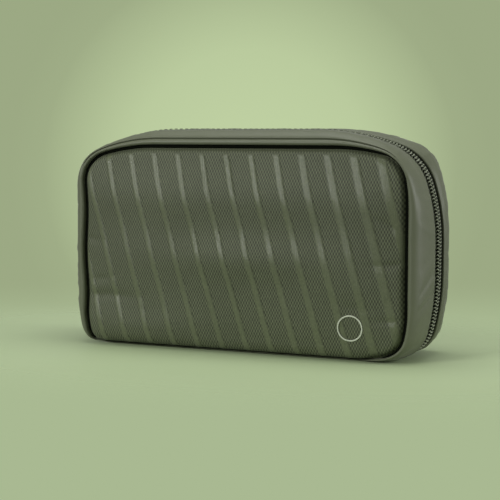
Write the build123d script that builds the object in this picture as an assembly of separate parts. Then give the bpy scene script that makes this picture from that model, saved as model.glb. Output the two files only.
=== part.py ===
"""Cable organizer pouch: a soft, zipped clamshell that stands on its long bottom side.

Millimetres. +X is to the right, the front faces -Y, +Z is up. The origin is at the middle of the
bottom, in the plane of the zip. Every piece of a half is drawn for the front half, at negative Y,
and the rear half's pieces are mirrored through the zip's plane.
"""
from build123d import *
from math import cos, radians, sin
import os

os.makedirs("parts", exist_ok=True)

# ---- whole pouch -------------------------------------------------------------------------------
HALF_WIDTH = 115.5        # from the middle to the side of the zip
HEIGHT = 133.5            # from the floor to the top of the zip
HALF_DEPTH = 28.0         # from the zip's plane to the outer edge of a gusset
ROLL_RADIUS = 8.0         # rolled edge between a gusset and its panel
PARTING_GAP = 0.15        # each half stops this far short of the zip's plane

# Corners are runs of tangent arcs, (radius, degrees), in the order they are met when the outline is
# walked anticlockwise from the middle of the bottom. Each run turns through 90 degrees.
OUTER_CORNERS = [
    [(60.0, 14.0), (20.0, 62.0), (140.0, 14.0)],      # bottom right
    [(110.0, 18.0), (36.0, 52.0), (130.0, 20.0)],     # top right
    [(120.0, 24.0), (30.0, 66.0)],                    # top left
    [(90.0, 12.0), (22.0, 64.0), (60.0, 14.0)],       # bottom left
]

# ---- panels ------------------------------------------------------------------------------------
PANEL_HALF_WIDTH = 104.5
PANEL_BOTTOM = 3.8
PANEL_TOP = 124.3
PANEL_CORNERS = [
    [(14.0, 76.0), (60.0, 14.0)],
    [(80.0, 10.0), (20.0, 66.0), (120.0, 14.0)],
    [(120.0, 16.0), (20.0, 74.0)],
    [(60.0, 12.0), (14.0, 78.0)],
]
PANEL_THICKNESS = 1.2
FOAM_THICKNESS = 4.0
PIPING_WIDTH = 3.0
PIPING_HEIGHT = 1.6
PIPING_ROUND = 0.7

# ---- gusset, lining and binding ----------------------------------------------------------------
GUSSET_WALL = 3.0
GUSSET_MOUTH = 9.5        # from the zip's plane to the gusset's folded edge
LINING_THICKNESS = 0.8
LINING_MOUTH = 6.0
BINDING_THICKNESS = 1.5
BINDING_WIDTH = 6.0

# ---- zip ---------------------------------------------------------------------------------------
COIL_HEIGHT = 2.2         # how far the coil stands on its tape
COIL_OUTER = 3.3          # from the zip's plane to the coil's far side
COIL_INNER = 0.7
TAPE_THICKNESS = 0.8
TAPE_OUTER = 14.0
ZIP_END = 72.0            # the zip stops this far from the middle, on the bottom
STOP_LENGTH = 3.0

# ---- slider and pull, on the left side ---------------------------------------------------------
SLIDER_FOOT = 38.5        # height of the slider's lower end, at rest
SLIDER_LENGTH = 11.0
SLIDER_NOSE_WIDTH = 9.4
SLIDER_TAIL_WIDTH = 8.4
SLIDER_CLEARANCE = 0.3
CROWN_PLATE = 1.5
INNER_PLATE = 1.2
POST_THICKNESS = 0.8
POST_LENGTH = 3.0
FLANGE_THICKNESS = 0.6
FLANGE_CLEARANCE = 0.2
PLATE_CORNER = 1.6
BRIDGE_LENGTH = 8.0
BRIDGE_WIDTH = 2.4
BRIDGE_HEIGHT = 3.2
BRIDGE_WALL = 1.0
BRIDGE_CORNER = 1.2
BRIDGE_ABOVE_FOOT = 1.2
WIRE_RADIUS = 0.7
LINK_HALF_WIDTH = 3.0
LINK_LENGTH = 10.0
PIVOT_ABOVE_FOOT = 3.4
PIVOT_STANDOFF = 1.05
GRIP_LENGTH = 21.0
GRIP_WIDTH = 9.0
GRIP_THICKNESS = 2.6
GRIP_CORNER = 2.5
GRIP_EDGE = 0.7
GRIP_OVERLAP = 2.2        # how far the grip's moulding goes up past the link's lower bar

# ---- inside fittings ---------------------------------------------------------------------------
LOOP_RISE = 9.0
LOOP_THICKNESS = 1.2
LOOP_BAND_WIDTH = 25.0
UPPER_LOOPS = {"count": 4, "pitch": 46.0, "half_span": 19.0, "height": 78.0}
LOWER_LOOPS = {"count": 5, "pitch": 37.0, "half_span": 15.0, "height": 30.0}
POCKET_HALF_WIDTH = 90.0
POCKET_BOTTOM = 8.5
POCKET_TOP = 84.0
POCKET_DEPTH = 7.0
MESH_THICKNESS = 1.0
POCKET_BINDING_WIDTH = 6.0
POCKET_BINDING_WRAP = 0.6

# ---- badge -------------------------------------------------------------------------------------
BADGE_CENTRE = (71.6, 20.0)
BADGE_RADIUS = 7.8
BADGE_RIM = 1.6
BADGE_THICKNESS = 0.8


def corner_reach(arcs):
    """How far a run of arcs travels along its first heading, and across it."""
    along, across, turned = 0.0, 0.0, 0.0
    for radius, degrees in arcs:
        start, end = radians(turned), radians(turned + degrees)
        along += radius * (sin(end) - sin(start))
        across += radius * (cos(start) - cos(end))
        turned += degrees
    return along, across


def rounded_outline(half_width, bottom, top, corners, grow=0.0):
    """A closed outline as a face in the drawing plane, grown outwards with the same arc centres."""
    grown = [[(radius + grow, degrees) for radius, degrees in arcs] for arcs in corners]
    sides = [
        (Vector(half_width + grow, bottom - grow), Vector(1, 0), Vector(0, 1)),
        (Vector(half_width + grow, top + grow), Vector(0, 1), Vector(-1, 0)),
        (Vector(-half_width - grow, top + grow), Vector(-1, 0), Vector(0, -1)),
        (Vector(-half_width - grow, bottom - grow), Vector(0, -1), Vector(1, 0)),
    ]
    edges = []
    first = pen = Vector(0, bottom - grow)
    for (square_corner, heading, _), arcs in zip(sides, grown):
        along, _ = corner_reach(arcs)
        start = square_corner - heading * along
        edges.append(Line(pen, start))
        pen, tangent = start, heading
        for radius, degrees in arcs:
            arc = JernArc(pen, tangent, radius, degrees)
            edges.append(arc)
            pen, tangent = arc @ 1, arc % 1
    edges.append(Line(pen, first))
    return make_face(edges)


def outer_outline(inset=0.0):
    return rounded_outline(HALF_WIDTH, 0.0, HEIGHT, OUTER_CORNERS, -inset)


def panel_outline(grow=0.0):
    return rounded_outline(PANEL_HALF_WIDTH, PANEL_BOTTOM, PANEL_TOP, PANEL_CORNERS, grow)


def slab(face, near, far):
    """A drawn face made solid between two distances in front of the zip's plane."""
    return extrude(Plane.XZ.offset(near) * face, amount=far - near)


def ring(outer_inset, inner_inset, near, far):
    return slab(outer_outline(outer_inset), near, far) - slab(outer_outline(inner_inset), near, far)


def block(low, high):
    """A box from its lowest corner to its highest."""
    size = [b - a for a, b in zip(low, high)]
    centre = [(a + b) / 2 for a, b in zip(low, high)]
    return Pos(*centre) * Box(*size)


def hinge_block(half_width):
    """The middle of the bottom, where there is no zip."""
    reach = HALF_DEPTH
    return block((-half_width, -reach, -reach), (half_width, reach, reach))


def rear(piece):
    return mirror(piece, about=Plane.XZ)


# ---- pieces of a half --------------------------------------------------------------------------
FOAM_INNER = HALF_DEPTH - FOAM_THICKNESS
LINING_INNER = FOAM_INNER - LINING_THICKNESS


def make_panel():
    return slab(panel_outline(), HALF_DEPTH, HALF_DEPTH + PANEL_THICKNESS)


def make_foam():
    return slab(panel_outline(), FOAM_INNER, HALF_DEPTH)


def make_piping():
    outer = slab(panel_outline(PIPING_WIDTH), HALF_DEPTH, HALF_DEPTH + PIPING_HEIGHT)
    bead = outer - slab(panel_outline(), HALF_DEPTH, HALF_DEPTH + PIPING_HEIGHT)
    front_face = bead.faces().sort_by(Axis.Y)[0]
    return fillet(front_face.edges(), PIPING_ROUND)


def make_zip_tape():
    band = ring(COIL_HEIGHT, COIL_HEIGHT + TAPE_THICKNESS, COIL_INNER, TAPE_OUTER)
    return band - hinge_block(ZIP_END)


def make_zip_coil():
    chain = ring(0.0, COIL_HEIGHT, COIL_INNER, COIL_OUTER)
    return chain - hinge_block(ZIP_END + STOP_LENGTH)


def make_zip_stops():
    stops = []
    for left in (-ZIP_END - STOP_LENGTH, ZIP_END):
        stops.append(block((left, -COIL_OUTER, 0.0), (left + STOP_LENGTH, -COIL_INNER, COIL_HEIGHT)))
    return Compound(children=stops)


def make_gusset(tape):
    body = slab(outer_outline(), GUSSET_MOUTH, HALF_DEPTH)
    front_face = body.faces().sort_by(Axis.Y)[0]
    body = fillet(front_face.edges(), ROLL_RADIUS)
    cavity = slab(outer_outline(GUSSET_WALL), GUSSET_MOUTH, FOAM_INNER)
    opening = slab(panel_outline(), FOAM_INNER, HALF_DEPTH)
    return body - cavity - opening - tape


def make_lining():
    base = slab(outer_outline(GUSSET_WALL), LINING_INNER, FOAM_INNER)
    wall = ring(GUSSET_WALL, GUSSET_WALL + LINING_THICKNESS, LINING_MOUTH, LINING_INNER)
    return base + wall


def make_seam_binding():
    inset = GUSSET_WALL + LINING_THICKNESS
    return ring(inset, inset + BINDING_THICKNESS, LINING_INNER - BINDING_WIDTH, LINING_INNER)


def make_hinge_strip():
    return block((-ZIP_END, -GUSSET_MOUTH, 0.0), (ZIP_END, -PARTING_GAP, GUSSET_WALL))


# ---- inside fittings ---------------------------------------------------------------------------
def arch_face(half_span, rise):
    """The area under a three-point arch, standing on the drawing plane's X axis."""
    arch = ThreePointArc((-half_span, 0), (0, rise), (half_span, 0))
    return make_face([arch, Line((half_span, 0), (-half_span, 0))])


def make_cable_loops(count, pitch, half_span, height):
    """One elastic band, sewn flat to the rear lining between its arches."""
    first = -pitch * (count - 1) / 2
    band_half = -first + pitch / 2
    band = Pos(0, LOOP_THICKNESS / 2) * Rectangle(2 * band_half, LOOP_THICKNESS)
    hollow = None
    for index in range(count):
        place = Pos(first + index * pitch, 0)
        band += place * arch_face(half_span, LOOP_RISE)
        inner = place * arch_face(half_span - LOOP_THICKNESS, LOOP_RISE - LOOP_THICKNESS)
        hollow = inner if hollow is None else hollow + inner
    profile = Plane.XY * Rot(0, 0, 180) * (band - hollow)
    bottom = height - LOOP_BAND_WIDTH / 2
    return extrude(Pos(0, LINING_INNER, bottom) * profile, amount=LOOP_BAND_WIDTH)


def make_mesh_pocket():
    face = LINING_INNER - POCKET_DEPTH
    outer = block((-POCKET_HALF_WIDTH, -LINING_INNER, POCKET_BOTTOM), (POCKET_HALF_WIDTH, -face, POCKET_TOP))
    room_half = POCKET_HALF_WIDTH - MESH_THICKNESS
    room_low = (-room_half, -LINING_INNER, POCKET_BOTTOM + MESH_THICKNESS)
    return outer - block(room_low, (room_half, -face - MESH_THICKNESS, POCKET_TOP))


def make_pocket_binding(pocket):
    face = LINING_INNER - POCKET_DEPTH
    low = (-POCKET_HALF_WIDTH, -face - MESH_THICKNESS - POCKET_BINDING_WRAP,
           POCKET_TOP - POCKET_BINDING_WIDTH / 2)
    high = (POCKET_HALF_WIDTH, -face + POCKET_BINDING_WRAP, POCKET_TOP + POCKET_BINDING_WIDTH / 2)
    return block(low, high) - pocket


def make_badge():
    rim = Circle(BADGE_RADIUS) - Circle(BADGE_RADIUS - BADGE_RIM)
    face = HALF_DEPTH + PANEL_THICKNESS
    return slab(Pos(*BADGE_CENTRE) * rim, face, face + BADGE_THICKNESS)


# ---- slider and pull ---------------------------------------------------------------------------
CROWN_X = -HALF_WIDTH - SLIDER_CLEARANCE
INNER_X = -HALF_WIDTH + COIL_HEIGHT + TAPE_THICKNESS + SLIDER_CLEARANCE
CROWN_TOP_X = CROWN_X - CROWN_PLATE
PIVOT_X = CROWN_TOP_X - PIVOT_STANDOFF
PIVOT_Z = SLIDER_FOOT + PIVOT_ABOVE_FOOT


def plate_outline():
    """The slider's plan: a wide nose at its foot and a narrower tail."""
    nose, tail = SLIDER_NOSE_WIDTH / 2, SLIDER_TAIL_WIDTH / 2
    corners = [(-nose, 0), (nose, 0), (tail, SLIDER_LENGTH), (-tail, SLIDER_LENGTH)]
    plan = make_face(Polyline(*corners, close=True))
    return fillet(plan.vertices(), PLATE_CORNER)


def side_plate(face, near_x, far_x):
    """A drawn (Y, height) face made solid between two places along X."""
    plane = Plane(origin=(near_x, 0, SLIDER_FOOT), x_dir=(0, 1, 0), z_dir=(1, 0, 0))
    return extrude(plane * face, amount=far_x - near_x)


def make_slider_body():
    crown = side_plate(plate_outline(), CROWN_TOP_X, CROWN_X)
    inner = side_plate(plate_outline(), INNER_X, INNER_X + INNER_PLATE)
    post_y = POST_THICKNESS / 2
    post = block((CROWN_X, -post_y, SLIDER_FOOT), (INNER_X, post_y, SLIDER_FOOT + POST_LENGTH))
    flange_y = COIL_OUTER + FLANGE_CLEARANCE
    flange_low = (CROWN_X, flange_y, SLIDER_FOOT + PLATE_CORNER)
    flange_x = -HALF_WIDTH + COIL_HEIGHT - SLIDER_CLEARANCE
    flange_high = (flange_x, flange_y + FLANGE_THICKNESS, SLIDER_FOOT + SLIDER_LENGTH - PLATE_CORNER)
    return crown + inner + post + block(flange_low, flange_high)


def make_slider_bridge():
    half = BRIDGE_WIDTH / 2
    foot = SLIDER_FOOT + BRIDGE_ABOVE_FOOT
    arch = block((CROWN_TOP_X - BRIDGE_HEIGHT, -half, foot), (CROWN_TOP_X, half, foot + BRIDGE_LENGTH))
    arch = fillet(arch.faces().sort_by(Axis.X)[0].edges().filter_by(Axis.Y), BRIDGE_CORNER)
    window_low = (CROWN_TOP_X - BRIDGE_HEIGHT + BRIDGE_WALL, -half, foot + BRIDGE_WALL)
    return arch - block(window_low, (CROWN_TOP_X, half, foot + BRIDGE_LENGTH - BRIDGE_WALL))


def wire_bar(start, end):
    """A round bar with ball ends."""
    start, end = Vector(*start), Vector(*end)
    run = Plane(origin=start, z_dir=end - start)
    bar = extrude(run * Circle(WIRE_RADIUS), amount=(end - start).length)
    return bar + Pos(*start) * Sphere(WIRE_RADIUS) + Pos(*end) * Sphere(WIRE_RADIUS)


def make_pull_link():
    corners = [
        (PIVOT_X, -LINK_HALF_WIDTH, PIVOT_Z),
        (PIVOT_X, LINK_HALF_WIDTH, PIVOT_Z),
        (PIVOT_X, LINK_HALF_WIDTH, PIVOT_Z - LINK_LENGTH),
        (PIVOT_X, -LINK_HALF_WIDTH, PIVOT_Z - LINK_LENGTH),
    ]
    link = wire_bar(corners[0], corners[1])
    for start, end in zip(corners[1:], corners[2:] + corners[:1]):
        link += wire_bar(start, end)
    return link


def make_pull_grip(link):
    half_width, half_thickness = GRIP_WIDTH / 2, GRIP_THICKNESS / 2
    top = PIVOT_Z - LINK_LENGTH + GRIP_OVERLAP
    low = (PIVOT_X - half_thickness, -half_width, top - GRIP_LENGTH)
    tab = block(low, (PIVOT_X + half_thickness, half_width, top))
    tab = fillet(tab.edges().filter_by(Axis.X), GRIP_CORNER)
    faces = tab.faces().sort_by(Axis.X)
    tab = fillet(faces[0].edges() + faces[-1].edges(), GRIP_EDGE)
    return tab - link


# ---- the kept pieces ---------------------------------------------------------------------------
def make_pieces():
    tape = make_zip_tape()
    halves = {
        "panel": make_panel(),
        "foam": make_foam(),
        "piping": make_piping(),
        "gusset": make_gusset(tape),
        "lining": make_lining(),
        "seam_binding": make_seam_binding(),
        "zip_tape": tape,
        "zip_coil": make_zip_coil(),
        "zip_stops": make_zip_stops(),
        "hinge_strip": make_hinge_strip(),
    }
    pieces = {}
    for name, piece in halves.items():
        pieces["front_" + name] = piece
        pieces["rear_" + name] = rear(piece)
    pieces["front_badge"] = make_badge()
    pieces["mesh_pocket"] = make_mesh_pocket()
    pieces["mesh_pocket_binding"] = make_pocket_binding(pieces["mesh_pocket"])
    pieces["upper_cable_loops"] = make_cable_loops(**UPPER_LOOPS)
    pieces["lower_cable_loops"] = make_cable_loops(**LOWER_LOOPS)
    pieces["slider_body"] = make_slider_body()
    pieces["slider_bridge"] = make_slider_bridge()
    pieces["pull_link"] = make_pull_link()
    pieces["pull_grip"] = make_pull_grip(pieces["pull_link"])
    return pieces


for name, piece in make_pieces().items():
    export_step(piece, f"parts/{name}.step")
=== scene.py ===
"""Looks of the cable organizer pouch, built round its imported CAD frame.

Sizes in this script are millimetres in the row frame, and turn into metres when a mesh is made.
+X is right, the front faces -Y, +Z is up. A half's pieces are drawn by their distance from the
zip's plane, called depth, and put at -Y for the front half and +Y for the rear half.
"""
import math

import bmesh
import bpy
import numpy as np
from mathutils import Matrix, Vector


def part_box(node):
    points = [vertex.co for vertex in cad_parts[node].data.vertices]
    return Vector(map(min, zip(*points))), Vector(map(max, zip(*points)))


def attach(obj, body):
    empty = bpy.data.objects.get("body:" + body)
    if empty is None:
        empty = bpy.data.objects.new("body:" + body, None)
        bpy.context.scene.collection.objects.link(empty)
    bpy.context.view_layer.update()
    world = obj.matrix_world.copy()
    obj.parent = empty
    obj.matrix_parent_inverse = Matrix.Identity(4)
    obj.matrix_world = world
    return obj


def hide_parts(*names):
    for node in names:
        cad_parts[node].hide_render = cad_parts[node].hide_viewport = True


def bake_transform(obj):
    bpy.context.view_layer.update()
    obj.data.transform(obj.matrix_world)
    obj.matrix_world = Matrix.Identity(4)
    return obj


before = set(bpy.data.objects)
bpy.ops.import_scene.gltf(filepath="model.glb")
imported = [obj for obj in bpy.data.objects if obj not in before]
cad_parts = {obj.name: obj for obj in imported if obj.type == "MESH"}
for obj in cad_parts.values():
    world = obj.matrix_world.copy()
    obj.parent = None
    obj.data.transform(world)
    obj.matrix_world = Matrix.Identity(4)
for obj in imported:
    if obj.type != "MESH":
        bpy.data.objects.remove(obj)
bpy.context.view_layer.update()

MM = 0.001
TURN = 2 * math.pi
FRONT, REAR = -1, 1
BODY = {FRONT: "front_half", REAR: "rear_half"}
PREFIX = {FRONT: "front_", REAR: "rear_"}


def node_box(node):
    """A CAD node's lowest and highest corners, in millimetres."""
    return [np.array(corner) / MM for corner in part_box(node)]


# ---- sizes read from the frame -----------------------------------------------------------------
_, gusset_high = node_box("front_gusset")
panel_low, panel_high = node_box("front_panel")
_, strip_high = node_box("front_hinge_strip")
_, lining_high = node_box("front_lining")
grip_low, grip_high = node_box("pull_grip")
badge_low, badge_high = node_box("front_badge")
pocket_low, pocket_high = node_box("mesh_pocket")

HALF_WIDTH, HEIGHT = gusset_high[0], gusset_high[2]
SEAM_X = panel_high[0]
PANEL_BOTTOM, PANEL_TOP = panel_low[2], panel_high[2]
ZIP_END = strip_high[0]
LINING_THICK = 0.8
INNER_INSET = HALF_WIDTH - lining_high[0] + LINING_THICK   # from the outer side to the lining's face

# Corners are runs of tangent arcs, (radius, degrees), met when the outline is walked anticlockwise
# from the middle of the bottom, as in the CAD model.
OUTER_CORNERS = [
    [(60.0, 14.0), (20.0, 62.0), (140.0, 14.0)],
    [(110.0, 18.0), (36.0, 52.0), (130.0, 20.0)],
    [(120.0, 24.0), (30.0, 66.0)],
    [(90.0, 12.0), (22.0, 64.0), (60.0, 14.0)],
]
PANEL_CORNERS = [
    [(14.0, 76.0), (60.0, 14.0)],
    [(80.0, 10.0), (20.0, 66.0), (120.0, 14.0)],
    [(120.0, 16.0), (20.0, 74.0)],
    [(60.0, 12.0), (14.0, 78.0)],
]

# ---- fabric pattern ----------------------------------------------------------------------------
RIB_PITCH = 16.0          # along X
RIB_PHASE = 7.0           # where one rib meets the height of the top seam
RIB_SLOPE = math.tan(math.radians(14.4))
RIB_HALF = 1.9            # half of a rib's width, measured along X
RIB_WIDENING, RIB_WIDE_AT = 0.34, 92.0   # the ribs widen towards the right
RIB_RISE, GULLY_DEPTH, KNOT_RISE = 0.42, 0.10, 0.18
WEAVE_X, WEAVE_Z = 1.75, 3.3


# ---- curves ------------------------------------------------------------------------------------
def xyz(x, y, z):
    """Points from three coordinates, each an array or a number, that fit one another."""
    return np.stack(np.broadcast_arrays(x, y, z), -1)


def unit(vectors):
    """The same directions with length 1."""
    return vectors / np.maximum(np.linalg.norm(vectors, axis=-1, keepdims=True), 1e-9)


def smooth_step(x, low, high):
    """From 0 at low to 1 at high, with soft shoulders."""
    share = np.clip((x - low) / (high - low), 0, 1)
    return share * share * (3 - 2 * share)


def walk(points):
    """The distance walked along a run of points, at each point."""
    return np.concatenate([[0], np.cumsum(np.linalg.norm(np.diff(points, axis=0), axis=1))])


def sample(at, walked, rows):
    """Rows of numbers read off at some distances walked."""
    return np.stack([np.interp(at, walked, column) for column in rows.T], 1)


def smooth_curve(x, knots, values):
    """A smooth curve through (knot, value) pairs, level beyond both ends."""
    knots, values = np.asarray(knots, float), np.asarray(values, float)
    slopes = np.gradient(values, knots)
    slopes[[0, -1]] = 0
    x = np.clip(x, knots[0], knots[-1])
    index = np.clip(np.searchsorted(knots, x, side="right") - 1, 0, len(knots) - 2)
    step = knots[index + 1] - knots[index]
    t = (x - knots[index]) / step
    return ((2 * t ** 3 - 3 * t ** 2 + 1) * values[index] + (t ** 3 - 2 * t ** 2 + t) * step * slopes[index]
            + (3 * t ** 2 - 2 * t ** 3) * values[index + 1] + (t ** 3 - t ** 2) * step * slopes[index + 1])


def closed_curve(points, count):
    """A closed smooth profile through given points, by Catmull-Rom pieces."""
    points = np.array(points, float)
    at = np.linspace(0, len(points), count, endpoint=False)
    index, t = at.astype(int), (at % 1)[:, None]
    p0, p1, p2, p3 = (points[(index + k) % len(points)] for k in (-1, 0, 1, 2))
    return 0.5 * (2 * p1 + (p2 - p0) * t + (2 * p0 - 5 * p1 + 4 * p2 - p3) * t ** 2
                  + (3 * p1 - p0 - 3 * p2 + p3) * t ** 3)


# ---- outlines ----------------------------------------------------------------------------------
def corner_run(arcs, steps):
    """Points along tangent arcs that start at the origin heading along +X and turn left by 90."""
    heading = np.linspace(0.0, 90.0, steps + 1)
    along, across, turned = np.zeros(steps + 1), np.zeros(steps + 1), 0.0
    for radius, degrees in arcs:
        start = math.radians(turned)
        reached = np.radians(np.clip(heading, turned, turned + degrees))
        along += radius * (np.sin(reached) - math.sin(start))
        across += radius * (math.cos(start) - np.cos(reached))
        turned += degrees
    return along, across, heading


def outline(half_width, bottom, top, corners, line_steps=30, corner_steps=90):
    """An outline as rows of (x, z, heading), from the middle of the bottom and back to it."""
    squares = np.array([(half_width, bottom), (half_width, top), (-half_width, top), (-half_width, bottom)])
    headings = np.array([(1, 0), (0, 1), (-1, 0), (0, -1)], float)
    rows = []
    first = pen = np.array([0.0, bottom])
    for side in range(4):
        along, across, turn = corner_run(corners[side], corner_steps)
        start = squares[side] - headings[side] * along[-1]
        rows += [(*(pen + (start - pen) * share), 90.0 * side)
                 for share in np.linspace(0, 1, line_steps, endpoint=False)]
        run = start + np.outer(along, headings[side]) + np.outer(across, headings[(side + 1) % 4])
        rows += [(x, z, 90.0 * side + degrees) for (x, z), degrees in zip(run[:-1], turn)]
        pen = run[-1]
    rows += [(*(pen + (first - pen) * share), 360.0) for share in np.linspace(0, 1, line_steps + 1)]
    return np.array(rows)


OUTER_LINE = outline(HALF_WIDTH, 0.0, HEIGHT, OUTER_CORNERS)
SEAM_LINE = outline(SEAM_X, PANEL_BOTTOM, PANEL_TOP, PANEL_CORNERS)


def facing_out(degrees):
    """Outward normals of an outline whose heading is given."""
    heading = np.radians(degrees)
    return np.stack([np.sin(heading), -np.cos(heading)], 1)


def matched_rims(spacing):
    """Points round the outer side and round the panel's seam that face each other, evenly spaced
    along the outer side, with the outward normal and the distance walked."""
    walked = walk(OUTER_LINE[:, :2])
    at = np.linspace(0, walked[-1], int(round(walked[-1] / spacing)), endpoint=False)
    outer = sample(at, walked, OUTER_LINE)
    return {
        "outer": outer[:, :2],
        "seam": sample(at, walked, SEAM_LINE[:, :2]),
        "normal": facing_out(outer[:, 2]),
        "walked": at,
        "length": walked[-1],
    }


RIM = matched_rims(1.6)


# ---- shape of the settled soft body ------------------------------------------------------------
# The padding's weight rolls the panel's lower edge under the pouch: how far a point of the panel
# drops and draws back, by its height above the bottom seam.
ROLL_HEIGHTS = (0.0, 2.5, 5.0, 8.0, 12.0, 17.0, 23.0, 32.0, 40.0)
ROLL_DROPS = (2.6, 4.7, 5.8, 5.8, 4.8, 3.3, 1.9, 0.5, 0.0)
ROLL_BACKS = (6.7, 4.0, 1.7, 0.45, 0.05, -0.15, -0.1, 0.0, 0.0)

# How far the filled bag stands off its outline: the direction of the outward normal in degrees
# from +X, how widely it spreads, and the distance.
BULGES = {
    FRONT: [(225.0, 30.0, 0.5), (180.0, 45.0, 0.5), (122.0, 26.0, -1.6), (86.0, 36.0, 1.25)],
    REAR: [(46.0, 28.0, 3.0), (0.0, 40.0, 0.9), (95.0, 50.0, 1.1), (180.0, 40.0, 0.5)],
}


def flat_bottom(x):
    """1 where the pouch rests on its long bottom side and 0 past the bottom corners."""
    return 1 - smooth_step(x, 74.0, 97.0) - smooth_step(-x, 100.0, 118.0)


def settle(depth, z, above, weight):
    """Rolls points under the pouch, by their height above the bottom seam."""
    return (depth - smooth_curve(above, ROLL_HEIGHTS, ROLL_BACKS) * weight,
            z - smooth_curve(above, ROLL_HEIGHTS, ROLL_DROPS) * weight)


def shift_left(x, z, weight):
    """The left seam sits a little further out than the right one, and wanders."""
    wander = 1.3 + 0.6 * np.sin(z / 8.5 + 1.0) * smooth_step(z, 8, 30)
    return x - wander * smooth_step(-x, 55.0, 104.0) * weight


def towards(middle, width):
    """1 where the rim's outward normal points near an angle in degrees from +X, fading to 0."""
    angle = np.degrees(np.arctan2(RIM["normal"][:, 1], RIM["normal"][:, 0]))
    away = (angle - middle + 180) % 360 - 180
    return np.exp(-(away / width) ** 2)


def ring_sections(share, out, depth, side, picked=slice(None)):
    """Profiles carried round the rim, as rim points by profile points by 3. share runs from the
    panel's seam, 0, to the outer side, 1; out moves a point along the outward normal."""
    seam, outer, normal = (RIM[key][picked][:, None, :] for key in ("seam", "outer", "normal"))
    share, out, depth = np.atleast_2d(*np.broadcast_arrays(share, out, depth))
    bulge = sum(size * towards(middle, width) for middle, width, size in BULGES[side])
    belly = smooth_step(depth, 8.0, 17.0) * (1 - smooth_step(depth, 22.5, 28.0))
    out = out + bulge[picked][:, None] * belly * smooth_step(share, 0.2, 0.8)
    flat = seam + (outer - seam) * share[..., None] + normal * out[..., None]
    x, z = flat[..., 0], flat[..., 1]
    weight = np.clip(1 - share ** 2, 0, 1) * flat_bottom(seam[..., 0])   # the outer side stays put
    depth, z = settle(depth, z, seam[..., 1] - PANEL_BOTTOM, weight)
    return xyz(shift_left(x, z, np.clip(1 - share, 0, 1)), side * depth, z)


# ---- mesh helpers ------------------------------------------------------------------------------
def new_object(name, points, faces, material=None):
    """A smooth-shaded mesh object from points in millimetres."""
    mesh = bpy.data.meshes.new(name)
    mesh.from_pydata((np.asarray(points, float).reshape(-1, 3) * MM).tolist(), [], faces)
    mesh.polygons.foreach_set("use_smooth", [True] * len(mesh.polygons))
    mesh.update()
    piece = bpy.data.objects.new(name, mesh)
    bpy.context.scene.collection.objects.link(piece)
    if material:
        mesh.materials.append(material)
    return piece


def closed_object(name, points, faces, material):
    """The same, with every face of the closed mesh turned outwards."""
    piece = new_object(name, points, faces, material)
    work = bmesh.new()
    work.from_mesh(piece.data)
    bmesh.ops.recalc_face_normals(work, faces=work.faces)
    work.to_mesh(piece.data)
    work.free()
    return piece


def grid_faces(rows, columns, wrap_rows=False, wrap_columns=False, offset=0, flip=False):
    """Quads between neighbouring points of a rows by columns array."""
    row_steps = rows if wrap_rows else rows - 1
    column_steps = columns if wrap_columns else columns - 1
    i, j = np.meshgrid(np.arange(row_steps), np.arange(column_steps), indexing="ij")
    i2, j2 = (i + 1) % rows, (j + 1) % columns
    quads = np.stack([i * columns + j, i2 * columns + j, i2 * columns + j2, i * columns + j2], -1)
    quads = quads.reshape(-1, 4) + offset
    return (quads[:, ::-1] if flip else quads).tolist()


def band_faces(first, second):
    """Quads between two closed runs of point numbers of the same length."""
    first, second = np.array(first), np.array(second)
    return np.stack([first, np.roll(first, -1), np.roll(second, -1), second], 1).tolist()


def sweep(name, sections, material, closed_path=True):
    """A closed profile carried along a path: sections is path points by profile points by 3."""
    count, around = sections.shape[:2]
    faces = grid_faces(count, around, wrap_rows=closed_path, wrap_columns=True)
    if not closed_path:
        faces += [list(range(around))[::-1], list(range((count - 1) * around, count * around))]
    return closed_object(name, sections, faces, material)


def slab(name, under, over, material):
    """A closed sheet between two patch grids of points."""
    levels, columns = under.shape[0] - 1, under.shape[1] - 1
    count = (levels + 1) * (columns + 1)
    rim = np.array(patch_rim(columns, levels))
    faces = grid_faces(levels + 1, columns + 1) + grid_faces(levels + 1, columns + 1, offset=count, flip=True)
    return closed_object(name, [under, over], faces + band_faces(rim, rim + count), material)


def place(piece, body, slot, *nodes):
    """Rides a finished piece on its body and hides the CAD nodes it stands in for. The slot is not used."""
    if nodes:
        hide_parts(*nodes)
    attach(piece, body)


STITCH_RINGS, STITCH_SIDES = 6, 6


def stitches(name, starts, ends, up, radius, material):
    """Separate short threads from each start to each end, bowed up off the cloth, in one mesh."""
    starts, ends = np.asarray(starts, float), np.asarray(ends, float)
    up = np.broadcast_to(up, starts.shape)
    across = np.cross(up, unit(ends - starts))
    share = np.linspace(0, 1, STITCH_RINGS)
    thick = radius * np.sqrt(np.clip(1 - (2 * share - 1) ** 6, 0.02, 1))
    bow = radius * 0.6 * np.sin(math.pi * share)
    angle = np.linspace(0, TURN, STITCH_SIDES, endpoint=False)[:, None]
    centre = starts[:, None] + (ends - starts)[:, None] * share[:, None] + up[:, None] * bow[:, None]
    ring = np.cos(angle) * across[:, None, None] + np.sin(angle) * up[:, None, None]
    points = centre[:, :, None] + ring * thick[:, None, None]
    return repeated(name, points, material)


def repeated(name, points, material):
    """Short closed tubes in one mesh: points is tubes by rings by sides by 3."""
    count, rings, sides = points.shape[:3]
    tube = grid_faces(rings, sides, wrap_columns=True)
    tube += [list(range(sides))[::-1], list(range((rings - 1) * sides, rings * sides))]
    faces = [[index * rings * sides + k for k in face] for index in range(count) for face in tube]
    return closed_object(name, points, faces, material)


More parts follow.
